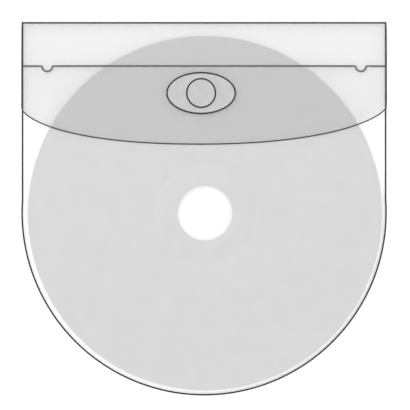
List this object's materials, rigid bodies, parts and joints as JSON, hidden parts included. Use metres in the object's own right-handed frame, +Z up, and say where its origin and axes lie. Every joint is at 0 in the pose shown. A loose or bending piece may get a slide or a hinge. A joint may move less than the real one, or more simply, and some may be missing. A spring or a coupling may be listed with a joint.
{
  "type": "cd sleeve",
  "caption": "Clear film sleeve with a round bottom and a frosted fold-over flap with a press stud, holding a plain grey disc.",
  "frame": {"origin": "centre of the round bottom, on the underside of the back film, which lies on the table", "axes": "+Z up, away from the table and through the sleeve to its flap; +Y towards the folded edge; +X to the right, seen from above with the fold away from the viewer"},
  "size_m": [0.1238, 0.1265, 0.0034],
  "materials": {
    "clear_film": "clear polypropylene film, glossy, with faint draw lines",
    "frosted_film": "polypropylene film, lightly frosted on the flap",
    "film_edge": "cut and melted film edge, dark where it gathers the light",
    "disc_print": "plain silver-grey label print on polycarbonate",
    "disc_clear": "bare clear polycarbonate hub and rim",
    "disc_data": "mirror data side with fine rings",
    "moulded_closure": "moulded translucent polypropylene with a fine satin texture"
  },
  "bodies": {
    "root": {"back_panel_with_flap": "frosted_film", "front_panel": "clear_film", "disc": "disc_print", "closure_cap": "moulded_closure", "closure_socket": "moulded_closure"}
  },
  "joints": []
}
